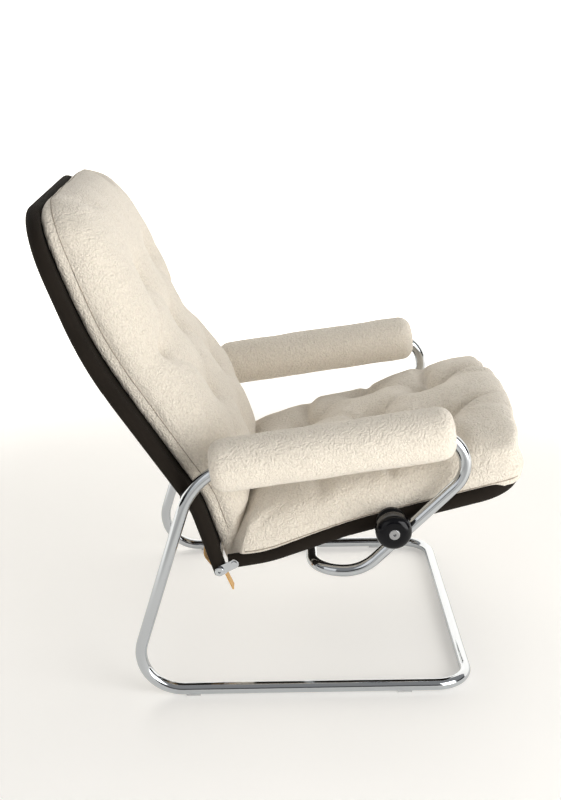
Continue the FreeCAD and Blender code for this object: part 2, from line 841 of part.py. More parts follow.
for word, sign in SIDES.items():
    outward = ACROSS * sign
    name = f"hinge_plate_{word}"
    eyes = []
    for label, place in (("rod", hinge), ("bolt", plate_point)):
        eyes.append(
            cylinder(
                f"{name}_{label}_eye",
                "Sizes.plate_width",
                "Sizes.plate_thickness",
                across(place, sign * plate_in),
                outward,
            )
        )
    web = doc.addObject("Part::Box", f"{name}_web")
    web.Length = (plate_point - hinge).Length
    web.setExpression("Width", "Sizes.plate_width")
    web.setExpression("Height", "Sizes.plate_thickness")
    link = (plate_point - hinge).normalize()
    web_turn = Rotation(link, outward.cross(link), outward, "ZXY")
    web_start = across(hinge, sign * plate_in) - outward.cross(link) * (d.plate_width / 2)
    web.Placement = Placement(web_start, web_turn)
    plate = joined("Part::Fuse", f"{name}_half", web, eyes[0])
    plate = joined("Part::Fuse", f"{name}_blank", plate, eyes[1])
    for label, place, diameter in (
        ("rod", hinge, "Sizes.axle_diameter"),
        ("bolt", plate_point, "Sizes.plate_bolt_diameter"),
    ):
        hole = cylinder(
            f"{name}_{label}_hole",
            diameter + " + 2 * Sizes.running_clearance",
            "3 * Sizes.plate_thickness",
            across(place, sign * (plate_in - d.plate_thickness)),
            outward,
        )
        plate = joined("Part::Cut", f"{name}_{label}_cut", plate, hole)
    keep(plate, name)

    shank = cylinder(
        f"plate_bolt_{word}_shank",
        "Sizes.plate_bolt_diameter",
        str(plate_out - sleeve_in),
        across(plate_point, sign * sleeve_in),
        outward,
    )
    for label, start in (("head", plate_out), ("nut", sleeve_in - d.plate_bolt_head_height)):
        head = cylinder(
            f"plate_bolt_{word}_{label}",
            "Sizes.plate_bolt_head",
            "Sizes.plate_bolt_head_height",
            across(plate_point, sign * start),
            outward,
        )
        shank = joined("Part::Fuse", f"plate_bolt_{word}_with_{label}", shank, head)
    keep(shank, f"plate_bolt_{word}")

    cap_turn = Rotation(Vector(0, 0, 1), outward)
    cap = turned(
        f"hinge_cap_{word}",
        [
            ("0", "0"),
            ("Sizes.hinge_cap_diameter / 2", "0"),
            ("Sizes.hinge_cap_diameter / 2", "Sizes.hinge_cap_height"),
            ("Sizes.hinge_socket_diameter / 2", "Sizes.hinge_cap_height"),
            ("Sizes.hinge_socket_diameter / 2", "Sizes.hinge_cap_height - Sizes.hinge_socket_depth"),
            ("0", "Sizes.hinge_cap_height - Sizes.hinge_socket_depth"),
        ],
        Placement(across(hinge, sign * cap_in), cap_turn),
    )
    rounded(
        cap,
        f"hinge_cap_{word}_round",
        "Sizes.hinge_cap_height / 4",
        (d.hinge_cap_diameter / 2, d.hinge_cap_height),
    )
    keep(cap, f"hinge_cap_{word}")


# Seat clamps: stud, inner friction disc, roller on the sloping rail, outer disc and knob

disc_in = sleeve_out
disc_out = tube_out
knob_in = disc_out + d.outer_disc_thickness + d.seat_clearance
knob_out = knob_in + d.knob_height
screw_in = knob_out + d.knob_screw_proud - d.knob_screw_length
stud_tip = screw_in - d.seat_clearance
roller_radius = d.stud_above - tube_radius - d.rail_clearance
stud_bore = "Sizes.stud_diameter + 2 * Sizes.running_clearance"


def bored_disc(name, diameter, thickness, inner, outward, bore):
    """A round disc or roller with a bore for the clamp stud."""
    blank = cylinder(name + "_blank", diameter, thickness, across(stud, outward.x * inner), outward)
    length = sheet_value(thickness)
    hole = cylinder(
        name + "_bore", bore, str(3 * length), across(stud, outward.x * (inner - length)), outward
    )
    return keep(joined("Part::Cut", name, blank, hole), name)


for word, sign in SIDES.items():
    outward = ACROSS * sign
    shank = cylinder(
        f"clamp_stud_{word}_shank",
        "Sizes.stud_diameter",
        str(stud_tip - sleeve_in),
        across(stud, sign * sleeve_in),
        outward,
    )
    head = cylinder(
        f"clamp_stud_{word}_head",
        "Sizes.stud_head_diameter",
        "Sizes.stud_head_height",
        across(stud, sign * (sleeve_in - d.stud_head_height)),
        outward,
    )
    keep(joined("Part::Fuse", f"clamp_stud_{word}", shank, head), f"clamp_stud_{word}")

    bored_disc(
        f"inner_disc_{word}", "Sizes.disc_diameter", str(tube_in - disc_in), disc_in, outward, stud_bore
    )
    bored_disc(
        f"clamp_roller_{word}",
        str(2 * roller_radius),
        "Sizes.roller_length",
        side - d.roller_length / 2,
        outward,
        stud_bore,
    )
    bored_disc(
        f"outer_disc_{word}",
        "Sizes.disc_diameter",
        "Sizes.outer_disc_thickness",
        disc_out,
        outward,
        stud_bore,
    )

    socket_turn = Placement(across(stud, sign * knob_in), Rotation(Vector(0, 0, 1), outward))
    well = "Sizes.insert_diameter / 2 + Sizes.running_clearance"
    face = "Sizes.knob_screw_diameter / 2 + Sizes.running_clearance"
    knob = turned(
        f"knob_{word}",
        [
            (well, "0"),
            ("Sizes.knob_diameter / 2", "0"),
            ("Sizes.knob_diameter / 2", "Sizes.knob_height"),
            (face, "Sizes.knob_height"),
            (face, str(screw_in - knob_in)),
            (well, str(screw_in - knob_in)),
        ],
        socket_turn,
    )
    radius = d.knob_diameter / 2
    rounded(knob, f"knob_{word}_dome", "Sizes.knob_edge_round", (radius, d.knob_height))
    rounded(knob, f"knob_{word}_rim", "Sizes.knob_rim_round", (radius, 0))
    keep(knob, f"knob_{word}")

    bored_disc(
        f"knob_insert_{word}", "Sizes.insert_diameter", "Sizes.insert_length", knob_in, outward, stud_bore
    )

    screw = turned(
        f"knob_screw_{word}",
        [
            ("0", "0"),
            ("Sizes.knob_screw_diameter / 2", "0"),
            ("Sizes.knob_screw_diameter / 2", "Sizes.knob_screw_length"),
            ("Sizes.knob_socket_diameter / 2", "Sizes.knob_screw_length"),
            ("Sizes.knob_socket_diameter / 2", "Sizes.knob_screw_length - Sizes.knob_socket_depth"),
            ("0", "Sizes.knob_screw_length - Sizes.knob_socket_depth"),
        ],
        Placement(across(stud, sign * screw_in), Rotation(Vector(0, 0, 1), outward)),
    )
    rounded(
        screw,
        f"knob_screw_{word}_round",
        "Sizes.knob_screw_proud / 1.2",
        (d.knob_screw_diameter / 2, d.knob_screw_length),
    )
    keep(screw, f"knob_screw_{word}")


# Leather straps: riveted behind the back sling, looped slack below the hinge, tab end free

sheet_back = d.canvas_offset - d.canvas_thickness / 2 - d.seat_clearance
low_front = square_to(low_up)
strap_line = [
    hinge + low_up * d.strap_top + low_front * sheet_back,
    hinge + low_up * d.strap_leaves + low_front * sheet_back,
    hinge + low_up * d.strap_bulge_up - low_front * d.strap_bulge_back,
    hinge - low_up * d.strap_sag - low_front * d.strap_sag_back,
    hinge - low_up * d.strap_turn_down + low_front * d.strap_turn_ahead,
    hinge - low_up * d.strap_tab_down + low_front * d.strap_tab_ahead,
]
strap_path = bent_path(strap_line, [4 * d.strap_bend, 3 * d.strap_bend, d.strap_bend, d.strap_bend])
strap_start, strap_ahead = along(strap_path, 0)
strap_normal = square_to(strap_ahead)
for word, sign in SIDES.items():
    inner = sign * (rail_side - d.strap_inset - d.strap_width / 2)
    outer = sign * (rail_side - d.strap_inset + d.strap_width / 2)
    far = strap_start - strap_normal * d.strap_thickness
    outline = [
        across(strap_start, inner),
        across(strap_start, outer),
        across(far, outer),
        across(far, inner),
    ]
    band = strap_path.makePipeShell([Part.makePolygon(outline + outline[:1])], True, False)
    solid_piece(f"tie_strap_{word}", band)


# Checks, then one file for each sub-part

doc.recompute()
for part in doc.Objects:
    if "Invalid" in part.State or "Error" in part.State:
        raise RuntimeError(f"{part.Label} did not recompute: {part.State}")
for part in nodes:
    if part.Shape.isNull() or not part.Shape.isValid() or not part.Shape.Solids:
        raise RuntimeError(f"{part.Label} has no valid solid")

os.makedirs("parts", exist_ok=True)
for part in nodes:
    part.Shape.exportStep(f"parts/{part.Label}.step")
print(f"{len(nodes)} sub-parts written")
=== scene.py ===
import math
from collections import namedtuple

import bmesh
import bpy
import numpy as np
from mathutils import Matrix, Vector, noise
from mathutils.bvhtree import BVHTree


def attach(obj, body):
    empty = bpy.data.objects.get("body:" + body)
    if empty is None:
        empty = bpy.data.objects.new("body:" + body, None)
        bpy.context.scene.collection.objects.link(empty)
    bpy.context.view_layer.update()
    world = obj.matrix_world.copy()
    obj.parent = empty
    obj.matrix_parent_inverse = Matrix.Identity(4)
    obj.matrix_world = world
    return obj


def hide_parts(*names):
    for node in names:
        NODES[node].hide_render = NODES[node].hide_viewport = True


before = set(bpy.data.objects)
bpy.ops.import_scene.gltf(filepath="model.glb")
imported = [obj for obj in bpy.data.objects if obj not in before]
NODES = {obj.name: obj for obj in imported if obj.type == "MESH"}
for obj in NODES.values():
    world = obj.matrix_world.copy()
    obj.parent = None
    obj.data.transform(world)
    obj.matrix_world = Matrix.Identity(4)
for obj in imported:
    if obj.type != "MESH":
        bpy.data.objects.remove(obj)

bl_info = {
    "name": "Reclining armchair",
    "version": (1, 0, 0),
    "blender": (4, 5, 0),
    "location": "View3D > Sidebar > Armchair",
    "description": "Dresses a reclining armchair: cushions, slings, arm sleeves, chrome and a studio",
    "category": "Object",
}

# Metres and degrees. The sitter faces -Y, and the floor is at z = 0.
SIDES = {"left": 1, "right": -1}
ACROSS = Vector((1, 0, 0))

# Side lines of the back and seat rails: corners (y, z), and the radius of the bend at each inner corner
Rail = namedtuple("Rail", "line travel ahead normal")
BACK_CORNERS = ((0.12336, 0.23155), (0.16693, 0.36565), (0.34381, 0.63088), (0.43469, 0.87523))
BACK_BENDS = (0.17, 0.7)
SEAT_CORNERS = ((0.11054, 0.25431), (0.03818, 0.26549), (-0.10321, 0.31578), (-0.40747, 0.39438))
SEAT_BENDS = (0.26, 1.1)
RAIL_STEP = 0.004
RAIL_RUN_ON = 0.2
BEND_POINTS = 25
RAIL_CHUNK = 4000

# Tuft rows along the rails: their place on the solids, and where the covered cushions show them
TUFT_ACROSS = 0.097
BACK_ROWS = ((0.162, 0.150), (0.289, 0.252), (0.416, 0.390), (0.543, 0.535))
SEAT_ROWS = ((0.137, 0.189), (0.264, 0.316), (0.391, 0.443))
ROWS_START = 0.05
BACK_ROWS_END = 0.62
SEAT_ROWS_END = 0.575
TUFT_HELD = 0.03

# Creases between tufts, out to the sides and down the seat's nose
Crease = namedtuple("Crease", "start end strength fades")
NEIGHBOUR_ALONG = (0.05, 0.15)
NEIGHBOUR_ACROSS = 0.12
SIDE_CREASE_SLANT = 0.012
BACK_SIDE_CREASES = (0.25, 0.3)
SEAT_SIDE_CREASES = (0.28, 1.2)
NOSE_CREASES = ((-0.04, 0.5), (0.05, 1.1))
NOSE_CREASE_RUN = 0.15
CREASE_MEAN = 0.65
CREASE_SWING = 0.35
CREASE_SHARPNESS = 1.5
TUFT_SHARPNESS = 1.25
FADE_POWER = 0.8
WANDER = 0.007
WANDERS_PER_METRE = 26
WANDER_ALONG = Vector((7, 3, 5))
WANDER_ACROSS = Vector((0, 0, 0))

# Zones of a cushion, each from where a change begins to where it is full: along the rail
TAIL_ZONE = (0.08, 0.0)
TOP_ZONE = (0.6, 0.7)
CORNER_ZONE = (0.06, 0.0)
HANG_ZONE = (0.30, 0.05)
HANG_AHEAD = 0.55
NOSE_IN_ZONE = (0.49, 0.56)
NOSE_OUT_ZONE = (0.46, 0.54)

# Zones above the rail, across the chair, and by how far a face looks up
ROWS_HEIGHT = (0.03, 0.08)
SEWN_HEIGHT = (0.03, 0.06)
SLACK_HEIGHT = (0.02, 0.04)
RESTING_HEIGHT = (0.024, 0.018)
RUMPLED_HEIGHT = (0.014, 0.034)
LOW_HEIGHT = (0.06, 0.02)
NOSE_IN_HEIGHT = (0.11, 0.04)
NOSE_OUT_HEIGHT = (0.05, 0.10)
SLEEVE_SIDE = (0.25, 0.28)
FACING_UP = (0.1, 0.6)

# Skin, stuffing and unevenness of the covers
SKIN_ROUNDS = 6
MERGE_DISTANCE = 2e-5
STUFFING_FRAMES = 20
STUFFING = {
    "quality": 4,
    "mass": 0.3,
    "tension_stiffness": 12,
    "compression_stiffness": 8,
    "shear_stiffness": 4,
    "bending_stiffness": 0.8,
    "air_damping": 3,
}
CUSHION_WAVE = 0.07
CUSHION_UNEVEN = 0.0022
WAVE_FALL = 0.8
WAVE_GAP = 2.0
WAVE_LAYERS = 3

# Stitched seams of the side panels
BACK_SEAM_RUN = (0.06, 0.60)
SEAT_SEAM_RUN = (0.03, 0.50)
SEAM_STEP = 0.006
SEAM_END_POINTS = 70
SEAM_SIDE_REACH = 0.45
SEAM_END_REACH = 0.5
SEAM_PROUD = 0.2
SEAM_SIDES = 6
SEAM_GROOVE_WIDTH = 0.005

# Arm sleeves, along the armrest bars from their rear ends
ARM_REAR = Vector((0.0, 0.16547, 0.44493))
ARM_AHEAD = Vector((0.0, -0.990268, 0.139173))
SLEEVE_MOUTH = (0.012, 0.016)
SLEEVE_ROUND_POINTS = 9
SLEEVE_PARTS = 60
SLEEVE_PLAIN_PARTS = range(5, 56)
SLEEVE_SIDES = 48
SLEEVE_HELD = (0.01, 0.0)
SLEEVE_PRESSURE = 1.0
SLEEVE_SWELL = 0.003
SLEEVE_WAVE = 1 / 14
SLEEVE_UNEVEN = 0.0014

# Spread of wear around the value of a finish
LEAST_WORN = 0.75
MOST_WORN = 1.3

# Studio: a floor that bends up into a wall, lamps with their size and place, and the surroundings
# that chrome mirrors, from below to above, as height, brightness and share of blue
FLOOR_REACH = 24.0
WALL_FOOT = 2.2
WALL_BEND = 1.6
WALL_BEND_START = 0.1
WALL_BEND_POINTS = 14
WALL_TOP = 6.0
GLOW_ZONE = (1.0, 2.7)
MIRROR_DIM_ZONE = (-1.35, -0.8)
MIRROR_DIM = 0.55
LAMPS = {
    "key": (2.2, Vector((-2.3, -2.2, 1.05))),
    "fill": (2.4, Vector((-2.7, 1.7, 1.5))),
    "top": (3.0, Vector((0.3, 0.3, 3.2))),
}
LAMP_TARGET = Vector((0, 0, 0.4))
SURROUNDINGS = (
    (0.46, 0.5, 1.0),
    (0.5, 0.02, 1.04),
    (0.585, 0.035, 1.04),
    (0.62, 0.5, 1.04),
    (0.72, 1.0, 1.0),
)

# Camera at the photograph's viewing angle: yaw from +Y, tilt down and roll
CAMERA_PLACE = (-2.3276, 0.0428, 1.2235)
CAMERA_YAW = -90.8044
CAMERA_TILT = 18.0
CAMERA_ROLL = -0.539
CAMERA_LENS = 55.665
CAMERA_SENSOR = 36.0
CAMERA_CLIP = 0.05


def length(label, text, metres):
    """A size for the panel."""
    return bpy.props.FloatProperty(
        name=label, description=text, default=metres, precision=4, subtype="DISTANCE"
    )


def level(label, text, value, unit="NONE"):
    """A strength for the panel."""
    return bpy.props.FloatProperty(name=label, description=text, default=value, min=0.0, unit=unit)


def colour(label, text, value):
    """A linear colour for the panel."""
    return bpy.props.FloatVectorProperty(
        name=label, description=text, default=value, min=0.0, max=1.0, subtype="COLOR"
    )


class CushionLooks(bpy.types.PropertyGroup):
    """Sizes of the sewn and stuffed forms."""

    voxel: length("Mesh step", "Step of the even skin over a cushion", 0.0062)
    pressure: level("Stuffing pressure", "How hard the cushions are filled", 3.0)
    slack: length("Drawn in", "How far a cover is drawn in before it is filled", 0.004)
    swell_cap: length("Most swelling", "Farthest that a cover may move while it is filled", 0.012)
    back_crease: length("Back crease", "Depth of the creases on the back cushion", 0.017)
    back_tuft: length("Back tuft", "Depth of the tufts on the back cushion", 0.026)
    seat_crease: length("Seat crease", "Depth of the creases on the seat cushion", 0.031)
    seat_tuft: length("Seat tuft", "Depth of the tufts on the seat cushion", 0.048)
    crease_width: length("Crease width", "Half width of a crease", 0.017)
    tuft_reach: length("Tuft reach", "How far a tuft draws in the cloth around it", 0.036)
    back_seam: length("Back seam", "Height of the back cushion's seam above its rail", 0.034)
    seat_seam: length("Seat seam", "Height of the seat cushion's seam above its rail", 0.015)
    seam_radius: length("Seam radius", "Radius of the stitched seam", 0.0011)
    seam_groove: length("Seam groove", "How far the cloth draws in along a seam", 0.003)
    tail_drop: length("Back tail", "How far the back cushion hangs down to the hinge", 0.042)
    top_lift: length("Back top", "How far the back cushion stands up at its top", 0.010)
    edge_drop: length("Seat edge hang", "How far the seat cushion hangs over its sleeves", 0.016)
    edge_out: length("Seat edge lap", "How far the seat cushion laps out over its sleeves", 0.010)
    corner_back: length("Seat corner", "How far the seat cushion reaches back at the hinge", 0.014)
    corner_drop: length("Seat corner hang", "How far the seat cushion hangs at the hinge", 0.012)
    nose_out: length("Seat nose", "How far the seat's nose is filled out above", 0.020)
    nose_in: length("Under the nose", "How far the seat's nose is drawn in below", 0.024)
    arm_radius: length("Arm radius", "Radius of an arm sleeve before it is filled", 0.0472)
    arm_length: length("Arm length", "Length of an arm sleeve", 0.43)
    arm_start: length("Arm start", "Where an arm sleeve starts on its bar", 0.026)
    arm_spacing: length("Arm spacing", "Distance between the two armrest bars", 0.634)
    arm_round: length("Arm rounding", "Rounding of an arm sleeve's ends", 0.027)


class FinishLooks(bpy.types.PropertyGroup):
    """Colours of cloth, metal, plastic and leather."""

    # The dark cream is random tone of the yarn and painted shade between the loops.
    cream_dark_tone_and_loop_shade: colour("Boucle, dark", "Cream yarn between the loops", (0.58, 0.515, 0.43))
    cream_light: colour("Boucle, light", "Cream yarn on the loops", (0.80, 0.735, 0.63))
    # The seam colours are painted shade: the seam cord is coloured darker than the cream cloth to stand for
    # the shade along the welt.
    seam_painted_shade_dark: colour("Seam, dark", "Dark thread of the stitched seams", (0.30, 0.25, 0.19))
    seam_painted_shade_light: colour("Seam, light", "Light thread of the stitched seams", (0.38, 0.32, 0.25))
    canvas: colour("Canvas", "Dark brown slings", (0.014, 0.0105, 0.0075))
    chrome: colour("Chrome", "Bent tubes and hinge fittings", (0.53, 0.55, 0.57))
    steel: colour("Steel", "Studs, rings, rod and screws", (0.42, 0.42, 0.43))
    black: colour("Knob", "Glossy clamp knobs", (0.003, 0.003, 0.004))
    matt: colour("Matt plastic", "Bushes, rollers and friction discs", (0.006, 0.006, 0.006))
    pale: colour("Pale plastic", "Floor glides", (0.45, 0.45, 0.44))
    foam: colour("Foam", "Core of the arm sleeves", (0.78, 0.74, 0.62))
    leather: colour("Leather", "Tan straps", (0.58, 0.33, 0.10))
    floor: colour("Floor", "Pale studio floor", (0.86, 0.845, 0.815))


class StudioLooks(bpy.types.PropertyGroup):
    """Brightness of the studio."""

    key: level("Key light", "Soft lamp at the near side, ahead of the chair", 78.0, "POWER")
    fill: level("Fill light", "Soft lamp at the near side, behind the chair", 15.0, "POWER")
    top: level("Top light", "Soft lamp above the chair", 1.0, "POWER")
    floor_glow: level("Floor glow", "Brightness of the floor under the chair", 0.25)
    world: level("Surroundings", "Brightness of the room", 0.34)


# Shading


def feed(tree, node, inputs):
    """Give each named input of a node its value, or a link from another node's socket."""
    for name, value in inputs.items():
        if isinstance(value, bpy.types.NodeSocket):
            tree.links.new(value, node.inputs[name])
        else:
            node.inputs[name].default_value = value


def shader_node(tree, kind, inputs, **settings):
    """A node with its settings and inputs."""
    node = tree.nodes.new(kind)
    for name, value in settings.items():
        setattr(node, name, value)
    feed(tree, node, inputs)
    return node


def calculated(tree, operation, *values):
    """A sum on numbers and sockets."""
    return shader_node(tree, "ShaderNodeMath", dict(enumerate(values)), operation=operation).outputs[0]


def cloudy(tree, place, scale, detail, roughness=0.5):
    """Noise texture at a place."""
    inputs = {"Vector": place, "Scale": scale, "Detail": detail, "Roughness": roughness}
    return shader_node(tree, "ShaderNodeTexNoise", inputs)


def eased_range(tree, value, zone, at_start, at_end):
    """A smooth ramp of a value over a zone."""
    inputs = {"Value": value, "From Min": zone[0], "From Max": zone[1], "To Min": at_start, "To Max": at_end}
    return shader_node(tree, "ShaderNodeMapRange", inputs, interpolation_type="SMOOTHSTEP").outputs["Result"]


def colour_ramp(tree, factor, stops):
    """A colour that follows a value through stops of position and colour."""
    ramp = shader_node(tree, "ShaderNodeValToRGB", {"Fac": factor})
    elements = ramp.color_ramp.elements
    for element, (position, shade) in ((elements[0], stops[0]), (elements[1], stops[-1])):
        element.position = position
        element.color = (*shade, 1)
    for position, shade in stops[1:-1]:
        elements.new(position).color = (*shade, 1)
    return ramp.outputs["Color"]


def node_group(name, scale, outputs):
    """An empty shader group that reads a position and a scale, with its entry and exit nodes."""
    group = bpy.data.node_groups.new(name, "ShaderNodeTree")
    group.interface.new_socket("Position", in_out="INPUT", socket_type="NodeSocketVector")
    group.interface.new_socket("Scale", in_out="INPUT", socket_type="NodeSocketFloat").default_value = scale
    for label in outputs:
        group.interface.new_socket(label, in_out="OUTPUT", socket_type="NodeSocketFloat")
    return group, group.nodes.new("NodeGroupInput"), group.nodes.new("NodeGroupOutput")


def looped_yarn():
    """Nubbly looped yarn: a relief, and a tone with painted shade between the loops and random shifts."""
    group, entry, result = node_group("looped_yarn", 300.0, ("Tint", "Height"))
    place = entry.outputs["Position"]
    twist = (0.008, 0.008, 0.008)
    fine_share = 0.45
    loop_shade_share = 0.5
    warp = cloudy(group, place, scale=60.0, detail=2.0)
    shift = shader_node(
        group,
        "ShaderNodeVectorMath",
        {0: warp.outputs["Color"], 1: twist, 2: place},
        operation="MULTIPLY_ADD",
    )
    loops = shader_node(
        group,
        "ShaderNodeTexVoronoi",
        {"Vector": shift.outputs[0], "Scale": entry.outputs["Scale"]},
        feature="SMOOTH_F1",
    )
    fine = cloudy(group, place, scale=420.0, detail=3.0)
    broad = cloudy(group, place, scale=260.0, detail=5.0, roughness=0.75)
    rounded = calculated(group, "SUBTRACT", 1.0, loops.outputs["Distance"])
    height = calculated(group, "MULTIPLY_ADD", fine.outputs["Fac"], fine_share, rounded)
    # Lighter on the loops and darker between them: painted shade in the hollows, plus random tone from the
    # broad noise.
    tone_and_loop_shade = calculated(group, "MULTIPLY_ADD", rounded, loop_shade_share, broad.outputs["Fac"])
    feed(group, result, {"Tint": tone_and_loop_shade, "Height": height})
    return group


def plain_weave():
    """Crossed threads of a canvas, as a relief."""
    group, entry, result = node_group("plain_weave", 480.0, ("Height",))
    threads = []
    for direction in ("X", "Z"):
        wave = shader_node(
            group,
            "ShaderNodeTexWave",
            {
                "Vector": entry.outputs["Position"],
                "Scale": entry.outputs["Scale"],
                "Distortion": 0.6,
                "Detail": 1.0,
            },
            bands_direction=direction,
        )
        threads.append(wave.outputs["Fac"])
    feed(group, result, {"Height": calculated(group, "ADD", *threads)})
    return group


def new_material(name):
    """A node material with its tree, its shader and the place on the piece."""
    material = bpy.data.materials.new(name)
    material.use_nodes = True
    tree = material.node_tree
    place = tree.nodes.new("ShaderNodeTexCoord").outputs["Object"]
    return material, tree, tree.nodes["Principled BSDF"], place


def relief(tree, height, strength, distance):
    """A bump from a height."""
    inputs = {"Height": height, "Strength": strength, "Distance": distance}
    return shader_node(tree, "ShaderNodeBump", inputs).outputs["Normal"]


def patterned(tree, group, place):
    """A shared pattern group placed in a material."""
    pattern = tree.nodes.new("ShaderNodeGroup")
    pattern.node_tree = group
    tree.links.new(place, pattern.inputs["Position"])
    return pattern


def plain(name, shade, metallic, roughness, shine=0.5):
    """A smooth finish: metal, plastic or leather, with faint handling marks in its roughness."""
    material, tree, shader, place = new_material(name)
    marks = cloudy(tree, place, scale=35.0, detail=4.0)
    spread = shader_node(
        tree,
        "ShaderNodeMapRange",
        {"Value": marks.outputs["Fac"], "To Min": roughness * LEAST_WORN, "To Max": roughness * MOST_WORN},
    )
    finish = {"Base Color": (*shade, 1), "Metallic": metallic, "Specular IOR Level": shine}
    feed(tree, shader, {**finish, "Roughness": spread.outputs["Result"]})
    return material


def boucle(name, dark, light, group):
    """Cream looped cloth."""
    material, tree, shader, place = new_material(name)
    yarn = patterned(tree, group, place)
    # The dark end of the ramp is painted shade between the loops, with random tone.
    cloth = {
        "Base Color": colour_ramp(tree, yarn.outputs["Tint"], ((0.35, dark), (1.0, light))),
        "Normal": relief(tree, yarn.outputs["Height"], strength=0.9, distance=0.0027),
        "Roughness": 0.95,
        "Sheen Weight": 0.25,
        "Sheen Roughness": 0.6,
    }
    feed(tree, shader, cloth)
    return material


def canvas(name, shade, group):
    """Dark brown canvas, unevenly worn."""
    material, tree, shader, place = new_material(name)
    weave = patterned(tree, group, place)
    worn = cloudy(tree, place, scale=14.0, detail=5.0)
    dark = [part * LEAST_WORN for part in shade]
    light = [part * MOST_WORN for part in shade]
    cloth = {
        "Base Color": colour_ramp(tree, worn.outputs["Fac"], ((0.0, dark), (1.0, light))),
        "Normal": relief(tree, weave.outputs["Height"], strength=0.35, distance=0.0006),
        "Roughness": 0.9,
        "Specular IOR Level": 0.15,
    }
    feed(tree, shader, cloth)
    return material


def pale_floor(shade, glow):
    """Pale studio floor, white in the distance and dimmer before the chair where only chrome mirrors it."""
    material, tree, shader, place = new_material("pale_floor")
    split = shader_node(tree, "ShaderNodeSeparateXYZ", {0: place})
    flat = shader_node(tree, "ShaderNodeCombineXYZ", {"X": split.outputs["X"], "Y": split.outputs["Y"]})
    reach = shader_node(tree, "ShaderNodeVectorMath", {0: flat.outputs[0]}, operation="LENGTH")
    light = eased_range(tree, reach.outputs["Value"], GLOW_ZONE, glow, 1.0)
    dim = eased_range(tree, split.outputs["X"], MIRROR_DIM_ZONE, MIRROR_DIM, 0.0)
    ray = tree.nodes.new("ShaderNodeLightPath")
    mirrored = calculated(tree, "MULTIPLY", dim, ray.outputs["Is Glossy Ray"])
    kept = calculated(tree, "SUBTRACT", 1.0, mirrored)
    mirrored_shade = (0.10, 0.10, 0.10, 1)
    mixed = shader_node(
        tree,
        "ShaderNodeMix",
        {"Factor": mirrored, "A": (*shade, 1), "B": mirrored_shade},
        data_type="RGBA",
    )
    surface = {
        "Base Color": mixed.outputs["Result"],
        "Emission Strength": calculated(tree, "MULTIPLY", light, kept),
        "Emission Color": (1.0, 0.975, 0.93, 1),
        "Roughness": 0.7,
    }
    feed(tree, shader, surface)
    return material


MATERIALS = {}


def make_materials():
    """Every finish of the chair, once."""
    looks = bpy.context.scene.finish_looks
    yarn = looped_yarn()
    weave = plain_weave()
    MATERIALS["cream"] = boucle("cream_boucle", looks.cream_dark_tone_and_loop_shade, looks.cream_light, yarn)
    # The seam cord's darker creams are painted shade along the welt.
    MATERIALS["seam"] = boucle("seam_cream_painted_shade", looks.seam_painted_shade_dark, looks.seam_painted_shade_light, yarn)
    MATERIALS["canvas"] = canvas("brown_canvas", looks.canvas, weave)
    MATERIALS["chrome"] = plain("bright_chrome", looks.chrome, metallic=1.0, roughness=0.07)
    MATERIALS["steel"] = plain("bright_steel", looks.steel, metallic=1.0, roughness=0.25)
    MATERIALS["black"] = plain("black_gloss", looks.black, metallic=0.0, roughness=0.12, shine=0.2)
    MATERIALS["matt"] = plain("matt_plastic", looks.matt, metallic=0.0, roughness=0.5, shine=0.2)
    MATERIALS["pale"] = plain("pale_plastic", looks.pale, metallic=0.0, roughness=0.5)
    MATERIALS["foam"] = plain("foam", looks.foam, metallic=0.0, roughness=0.9)
    MATERIALS["leather"] = plain("tan_leather", looks.leather, metallic=0.0, roughness=0.55)


FINISHES = {
    "chrome": ("base_tube", "rail_tube", "back_tube", "seat_tube", "hinge_cap", "hinge_plate", "plate_bolt"),
    "steel": (
        "splice_spigot", "pivot_stud", "pivot_ring", "clamp_stud", "hinge_axle", "knob_insert", "knob_screw",
    ),
    "pale": ("glide_front", "glide_rear"),
    "matt": ("pivot_bush", "clamp_roller", "inner_disc", "outer_disc"),
    "black": ("knob_left", "knob_right"),
    "foam": ("arm_foam",),
    "leather": ("tie_strap",),
    "cream": ("back_cushion", "seat_cushion", "arm_cover"),
    "canvas": ("back_sling", "seat_sling"),
}


def finish_of(node):
    """The finish of a CAD sub-part, from how its name starts."""
    return next(finish for finish, words in FINISHES.items() if node.startswith(words))


# Meshes


def add_object(name, mesh):
    """A new object at the origin with its mesh."""
    piece = bpy.data.objects.new(name, mesh)
    bpy.context.scene.collection.objects.link(piece)
    return piece


def add_piece(name, work):
    """A new object from a bmesh, with its faces turned outwards."""
    bmesh.ops.recalc_face_normals(work, faces=work.faces)
    mesh = bpy.data.meshes.new(name)
    work.to_mesh(mesh)
    work.free()
    return add_object(name, mesh)


def closed_piece(name, mesh):
    """A new object from a mesh whose loose faces are joined."""
    work = bmesh.new()
    work.from_mesh(mesh)
    bmesh.ops.remove_doubles(work, verts=work.verts, dist=MERGE_DISTANCE)
    return add_piece(name, work)


def baked(piece):
    """Apply a piece's modifiers to its mesh."""
    bpy.context.view_layer.update()
    done = bpy.data.meshes.new_from_object(piece.evaluated_get(bpy.context.evaluated_depsgraph_get()))
    done.name = piece.name
    piece.modifiers.clear()
    old = piece.data
    piece.data = done
    bpy.data.meshes.remove(old)


def remeshed(piece, voxel):
    """An even quad skin over a solid, eased so no hard edge is left."""
    grid = piece.modifiers.new("skin", "REMESH")
    grid.mode = "VOXEL"
    grid.voxel_size = voxel
    baked(piece)
    work = bmesh.new()
    work.from_mesh(piece.data)
    for _ in range(SKIN_ROUNDS):
        bmesh.ops.smooth_vert(
            work, verts=work.verts, factor=0.5, use_axis_x=True, use_axis_y=True, use_axis_z=True
        )
    work.to_mesh(piece.data)
    work.free()


